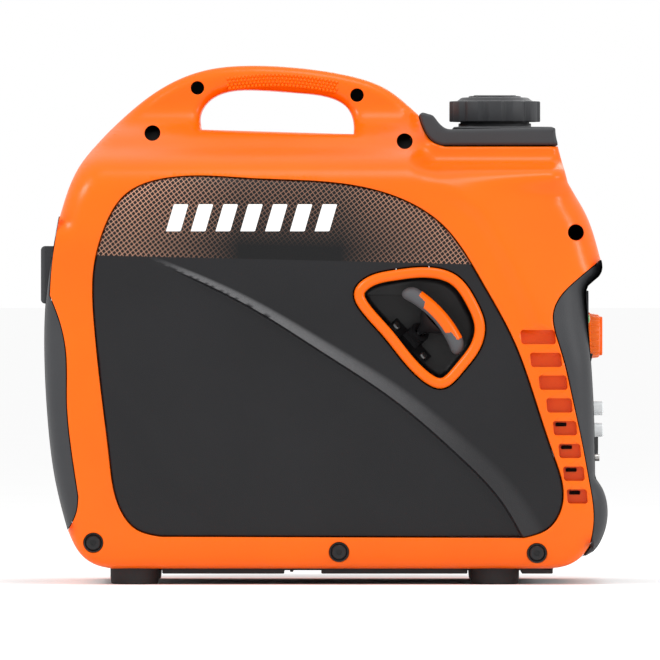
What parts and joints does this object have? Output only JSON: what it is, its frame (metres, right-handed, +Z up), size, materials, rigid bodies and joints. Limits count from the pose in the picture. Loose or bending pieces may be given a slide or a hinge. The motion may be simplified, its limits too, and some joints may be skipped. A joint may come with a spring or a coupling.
{
  "type": "portable inverter generator",
  "caption": "Suitcase-style portable inverter generator with a carrying handle, recoil starter in a side recess, fuel cap on the deck and a front control panel.",
  "frame": {"origin": "on the floor, under the middle of the overall box", "axes": "+X to the control panel, -Y to the starter side, +Z up"},
  "size_m": [0.5046, 0.2869, 0.4627],
  "materials": {
    "orange_plastic": "glossy moulded plastic",
    "charcoal_plastic": "satin moulded plastic",
    "black_plastic": "matte moulded plastic",
    "dark_rubber": "matte rubber",
    "grey_rubber": "matte rubber",
    "bolt_black": "black oxide",
    "bright_steel": "turned steel",
    "cast_aluminium": "as cast",
    "winding_copper": "enamelled wire",
    "heat_steel": "heat-tinted steel",
    "filter_foam": "open foam",
    "rope": "braided cord",
    "tank_plastic": "blow-moulded",
    "clear_boot": "clear moulded",
    "lamp_lens": "tinted lens",
    "outlet_face": "gloss moulded"
  },
  "bodies": {
    "housing": {"starter_side_shell": "orange_plastic", "service_side_shell": "orange_plastic", "starter_side_panel": "charcoal_plastic", "rear_cover": "charcoal_plastic", "exhaust_hood": "charcoal_plastic", "front_bezel": "charcoal_plastic", "fuel_deck_cover": "charcoal_plastic", "base_tray": "black_plastic", "rubber_feet": "dark_rubber", "chassis_bolts": "bolt_black", "housing_screws": "bright_steel", "starter_recess": "black_plastic", "rope_guide": "black_plastic", "recoil_housing": "bolt_black", "recoil_spring": "bright_steel", "crankcase": "cast_aluminium", "main_bearings": "bright_steel", "cylinder_block": "cast_aluminium", "cylinder_head": "cast_aluminium", "spark_plug": "bright_steel", "spark_plug_boot": "dark_rubber", "muffler": "heat_steel", "tail_pipe": "heat_steel", "carburettor": "cast_aluminium", "air_cleaner_case": "black_plastic", "air_filter_foam": "filter_foam", "engine_mounts": "dark_rubber", "alternator_stator": "winding_copper", "fuel_tank": "tank_plastic", "filler_neck": "tank_plastic", "fuel_hose": "dark_rubber", "inverter_module": "cast_aluminium", "control_panel": "charcoal_plastic", "switch_surrounds": "black_plastic", "dc_socket": "bright_steel", "ac_outlets": "outlet_face", "usb_ports": "black_plastic", "status_lamps": "lamp_lens", "ground_terminal": "bright_steel"},
    "crank": {"crankshaft": "bright_steel", "alternator_rotor": "bright_steel", "cooling_fan": "black_plastic", "starter_ratchet": "bright_steel"},
    "reel": {"starter_reel": "black_plastic", "reel_rope": "rope"},
    "starter_handle": {"starter_grip": "grey_rubber", "starter_grip_insert": "orange_plastic", "starter_rope_pull": "rope"},
    "cap_lifted": {"fuel_cap_gasket": "dark_rubber"},
    "cap": {"fuel_cap": "charcoal_plastic"},
    "cap_vent": {"fuel_cap_vent_knob": "charcoal_plastic"},
    "dial": {"engine_dial": "orange_plastic"},
    "economy_switch": {"economy_rocker": "black_plastic"},
    "ac_breaker": {"ac_breaker_button": "clear_boot"},
    "dc_breaker": {"dc_breaker_button": "clear_boot"},
    "usb_cover": {"usb_flap": "grey_rubber"},
    "socket_cover": {"dc_socket_cap": "dark_rubber"},
    "side_cover": {"service_cover": "charcoal_plastic"},
    "latch": {"service_latch": "black_plastic"},
    "oil_cap": {"oil_dipstick_cap": "orange_plastic"}
  },
  "joints": [
    {"name": "crank_spin", "type": "hinge", "parent": "housing", "child": "crank", "pos_m": [-0.01515, 0, 0.13496], "axis": [0, 1, 0], "continuous": true},
    {"name": "starter_pull", "type": "slide", "parent": "housing", "child": "starter_handle", "axis": [0.193, -0.966, 0.172], "range_m": [0, 0.6], "stiffness_N_per_m": 12, "springref_m": -0.25, "deforming": ["starter_rope_pull"]},
    {"name": "reel_spin", "type": "hinge", "parent": "housing", "child": "reel", "pos_m": [-0.01515, -0.109, 0.13496], "axis": [0, 1, 0], "range_deg": [0, 900]},
    {"name": "cap_lift", "type": "slide", "parent": "housing", "child": "cap_lifted", "axis": [0, 0, 1], "range_m": [0, 0.06]},
    {"name": "cap_turn", "type": "hinge", "parent": "cap_lifted", "child": "cap", "pos_m": [0.15352, 0, 0.42305], "axis": [0, 0, 1], "range_deg": [0, 90]},
    {"name": "vent_turn", "type": "hinge", "parent": "cap", "child": "cap_vent", "pos_m": [0.15352, 0, 0.43505], "axis": [0, 0, 1], "range_deg": [0, 90]},
    {"name": "dial_turn", "type": "hinge", "parent": "housing", "child": "dial", "pos_m": [0.236, 0.052, 0.22011], "axis": [1, 0, 0], "range_deg": [0, 90]},
    {"name": "economy_tilt", "type": "hinge", "parent": "housing", "child": "economy_switch", "pos_m": [0.236, -0.052, 0.19211], "axis": [0, 1, 0], "range_deg": [-18, 0]},
    {"name": "ac_breaker_push", "type": "slide", "parent": "housing", "child": "ac_breaker", "axis": [-1, 0, 0], "range_m": [0, 0.003], "stiffness_N_per_m": 120},
    {"name": "dc_breaker_push", "type": "slide", "parent": "housing", "child": "dc_breaker", "axis": [-1, 0, 0], "range_m": [0, 0.003], "stiffness_N_per_m": 120},
    {"name": "usb_cover_open", "type": "hinge", "parent": "housing", "child": "usb_cover", "pos_m": [0.2382, -0.012, 0.20211], "axis": [0, 1, 0], "range_deg": [-100, 0]},
    {"name": "socket_cover_open", "type": "hinge", "parent": "housing", "child": "socket_cover", "pos_m": [0.2388, -0.03, 0.14201], "axis": [0, 1, 0], "range_deg": [-100, 0]},
    {"name": "side_cover_off", "type": "slide", "parent": "housing", "child": "side_cover", "axis": [0, 1, 0], "range_m": [0, 0.15]},
    {"name": "latch_turn", "type": "hinge", "parent": "side_cover", "child": "latch", "pos_m": [0.0808, 0.1395, 0.2778], "axis": [0, 1, 0], "range_deg": [0, 90]},
    {"name": "oil_cap_out", "type": "slide", "parent": "housing", "child": "oil_cap", "axis": [0, 0.5736, 0.8192], "range_m": [0, 0.05]}
  ],
  "couplings": [
    {"joint": "reel_spin", "follows": "starter_pull", "rad_per_m": 25}
  ]
}
